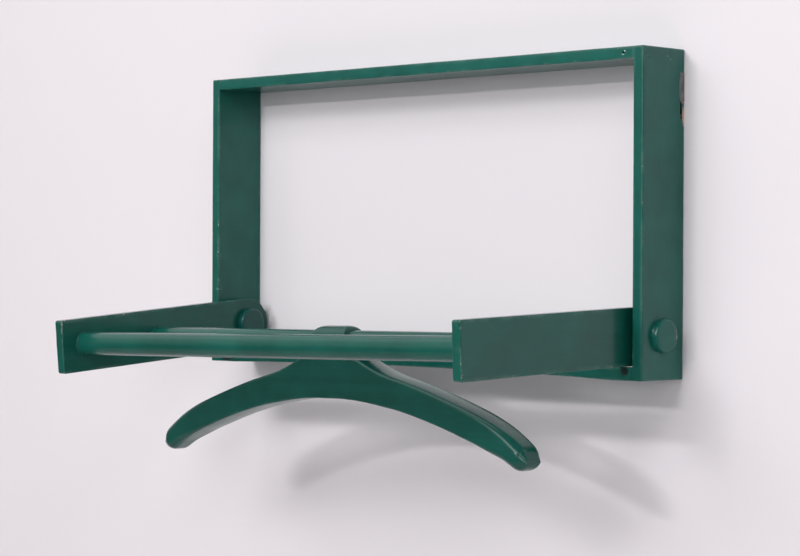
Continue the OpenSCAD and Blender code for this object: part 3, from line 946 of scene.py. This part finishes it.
for o in PAINTED:
    nm = o.name
    if "arm" in nm and "frame" not in nm:
        o_mat = lacquer("arms", "y", SPOTS.get(nm.replace("_painted", ""), ()), 1.0, nm + "_enamel")
    elif "rod" in nm:
        o_mat = lacquer("arms", "x", (), 0.5)
    elif "hanger" in nm:
        o_mat = lacquer("hanger", "x", (), 0.35)
    elif "rail" in nm:
        o_mat = lacquer("frame", "x", SPOTS.get(nm.replace("_painted", ""), ()), 0.8, nm + "_enamel")
    elif "stile" in nm:
        o_mat = lacquer("frame", "z", SPOTS.get(nm.replace("_painted", ""), ()), 0.9, nm + "_enamel")
    elif nm.startswith("right_peg_painted"):
        o_mat = lacquer("frame", "z", SPOTS["right_peg"], 0.8, "right_peg_enamel")
    elif nm.startswith("left_peg_cap"):
        o_mat = lacquer("cap", "z", (), 0.3)
    else:
        o_mat = lacquer("frame", "z", (), 0.6)
    o.data.materials.clear()
    o.data.materials.append(o_mat)

ZINC = metal("dull_zinc_plate", (0.25, 0.245, 0.235, 1), 0.46, 130.0)
STEEL = metal("blued_screw_steel", (0.40, 0.38, 0.35, 1), 0.38, 260.0)
PIN = metal("pin_steel_dull", (0.45, 0.44, 0.42, 1), 0.42, 200.0, "x")
for n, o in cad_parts.items():
    m = lacquer("frame", "z", (), 0.6)
    if "plate" in n:
        m = ZINC
    if n == "plate_screws":
        m = STEEL
    if n == "frame_pins":
        m = PIN
    o.data.materials.clear()
    o.data.materials.append(m)
    if n in ("left_spacer", "right_spacer", "left_wall_plate", "right_wall_plate", "plate_screws"):
        bev = o.modifiers.new("eased", "BEVEL")
        bev.width = 0.0006 if "spacer" in n else 0.00018
        bev.segments = 3
        bev.limit_method = "ANGLE"
        bev.angle_limit = math.radians(35)


# ------------------------------------------------------------------ stage
def plane(name, corners, mat):
    me = bpy.data.meshes.new(name)
    me.from_pydata([Vector(c) for c in corners], [], [tuple(range(len(corners)))])
    ob = bpy.data.objects.new(name, me)
    scene.collection.objects.link(ob)
    me.materials.append(mat)
    return ob


def wall_material(name, a, b_):
    """Off-white painted plaster. Seen from behind it is cut away, so the back of
    the part shows, and light from behind reaches the faces that touch it."""
    t = Tree(name)
    plain = t.mapping((1, 1, 1))
    n1 = t.noise(plain, 2.2, 3.0, 0.5)
    n2 = t.noise(plain, 260.0, 3.0, 0.6)
    b = t.n.new("ShaderNodeBsdfPrincipled")
    t.l.new(t.mix(n1, a, b_), b.inputs["Base Color"])
    b.inputs["Roughness"].default_value = 0.85
    b.inputs["Specular IOR Level"].default_value = 0.2
    t.l.new(t.bump(n2, 0.00008, 0.35), b.inputs["Normal"])
    clear = t.n.new("ShaderNodeBsdfTransparent")
    geo = t.n.new("ShaderNodeNewGeometry")
    path = t.n.new("ShaderNodeLightPath")
    near = t.math("LESS_THAN", path.outputs["Ray Length"], 0.0011)
    gone = t.math("MAXIMUM", geo.outputs["Backfacing"], near)
    sh = t.n.new("ShaderNodeMixShader")
    t.l.new(gone, sh.inputs[0])
    t.l.new(b.outputs[0], sh.inputs[1])
    t.l.new(clear.outputs[0], sh.inputs[2])
    t.l.new(sh.outputs[0], t.out.inputs[0])
    return t.mat


WALL = wall_material("backdrop_wall", (0.835, 0.792, 0.832, 1), (0.850, 0.808, 0.846, 1))
FLOOR = wall_material("backdrop_floor", (0.72, 0.70, 0.71, 1), (0.74, 0.72, 0.73, 1))
plane("backdrop_wall_plane",
      [(-4, 0.0006, -2.2), (4, 0.0006, -2.2), (4, 0.0006, 2.2), (-4, 0.0006, 2.2)], WALL)
plane("backdrop_floor_plane",
      [(-4, 0.0006, -2.2), (-4, -6, -2.2), (4, -6, -2.2), (4, 0.0006, -2.2)], FLOOR)


def area(name, az, el, size, size_y, power, colour=(1, 1, 1), dist=2.6, centre=(0, -0.08, -0.08)):
    """A soft light az degrees right of straight ahead of the wall, el degrees up."""
    a, e = math.radians(az), math.radians(el)
    d = Vector((math.sin(a) * math.cos(e), -math.cos(a) * math.cos(e), math.sin(e)))
    la = bpy.data.lights.new(name, "AREA")
    la.shape = "RECTANGLE"
    la.size, la.size_y = size, size_y
    la.energy = power
    la.color = colour
    ob = bpy.data.objects.new(name, la)
    scene.collection.objects.link(ob)
    ob.location = Vector(centre) + d * dist
    ob.rotation_mode = "QUATERNION"
    ob.rotation_quaternion = (-d).to_track_quat("-Z", "Y")
    ob.visible_camera = False
    return ob


# a near panel each side of straight ahead and a wide far one make the key; the
# small low one draws the crisp line under the rails
area("key_left", -16.2, 26, 0.9, 0.45, 6.6, dist=2.19)
area("key_right", 13.4, 26.8, 0.6, 0.55, 4.2, dist=2.18)
area("key_far", 9, 27.5, 2.2, 0.75, 37.0, dist=5.0)
area("top_soft", 7.5, 41.4, 2.0, 0.6, 9.8, dist=2.54)
area("low_crisp", -7, 15.4, 0.9, 0.15, 47.0, dist=5.0)
area("fill_right", 35, 5, 1.6, 1.0, 33.5, dist=5.0)
area("side_right", 55, 25, 1.4, 1.0, 18.0, dist=5.0)
area("fill_low", 1.5, -3.6, 0.6, 0.35, 1.6, dist=1.9)
# only the faces against the wall see these two
area("back_left", 150, 25, 1.4, 1.4, 26.0)
area("back_right", 215, 30, 1.4, 1.4, 34.0)

# The room: dim all round, with a pale wall and ceiling at the left that the front
# faces mirror. The camera itself looks past the wall onto plain pale grey.
world = bpy.data.worlds.new("studio_world")
scene.world = world
world.use_nodes = True
wt = world.node_tree
wt.nodes.clear()


def wnode(kind, **inputs):
    n = wt.nodes.new(kind)
    for k, v in inputs.items():
        sock = n.inputs[int(k[1:])]
        if isinstance(v, bpy.types.NodeSocket):
            wt.links.new(v, sock)
        else:
            sock.default_value = v
    return n


def wmath(op, a, b=0.0):
    n = wnode("ShaderNodeMath", i0=a, i1=b)
    n.operation = op
    return n.outputs[0]


def wstep(v, lo, hi):
    n = wnode("ShaderNodeMapRange", i0=v, i1=lo, i2=hi)
    n.interpolation_type = "SMOOTHSTEP"
    return n.outputs[0]


direction = wt.nodes.new("ShaderNodeTexCoord").outputs["Generated"]
sep = wnode("ShaderNodeSeparateXYZ", i0=direction)
dx, dy, dz = sep.outputs
flat_len = wmath("SQRT", wmath("ADD", wmath("MULTIPLY", dx, dx), wmath("MULTIPLY", dy, dy)))
sin_az = wmath("DIVIDE", dx, wmath("MAXIMUM", flat_len, 0.001))
left = wmath("MULTIPLY", wstep(sin_az, -0.46, -0.62), wstep(dy, 0.10, 0.0))
left = wmath("MULTIPLY", left, wmath("SUBTRACT", 1.45, wmath("MULTIPLY", wstep(sin_az, -0.66, -0.78), 0.85)))
ramp = wt.nodes.new("ShaderNodeValToRGB")
wt.links.new(wmath("ADD", wmath("MULTIPLY", dz, 0.5), 0.5), ramp.inputs[0])
steps = ((-0.40, 0.10), (-0.26, 0.13), (-0.07, 0.22), (0.0, 0.24), (0.09, 0.48), (0.31, 0.88),
         (0.47, 1.02), (0.59, 1.55), (0.71, 2.1), (1.0, 2.2))
for k, (z, v) in enumerate(steps):
    e = ramp.color_ramp.elements[k] if k < 2 else ramp.color_ramp.elements.new(0.5 + z / 2)
    e.position = 0.5 + z / 2
    e.color = (v / 2.5, v / 2.5 * 0.985, v / 2.5 * 0.97, 1)
tint = wnode("ShaderNodeMix")
tint.data_type = "RGBA"
wt.links.new(left, tint.inputs[0])
tint.inputs[6].default_value = (0.014, 0.0137, 0.0134, 1)
wt.links.new(ramp.outputs[0], tint.inputs[7])
room = wnode("ShaderNodeBackground", i1=2.5)
wt.links.new(tint.outputs[2], room.inputs[0])
seen = wnode("ShaderNodeBackground", i0=(0.80, 0.785, 0.80, 1), i1=1.0)
lp = wt.nodes.new("ShaderNodeLightPath")
mx = wt.nodes.new("ShaderNodeMixShader")
wt.links.new(lp.outputs["Is Camera Ray"], mx.inputs[0])
wt.links.new(room.outputs[0], mx.inputs[1])
wt.links.new(seen.outputs[0], mx.inputs[2])
wo = wt.nodes.new("ShaderNodeOutputWorld")
wt.links.new(mx.outputs[0], wo.inputs[0])

scene.view_settings.view_transform = "Standard"
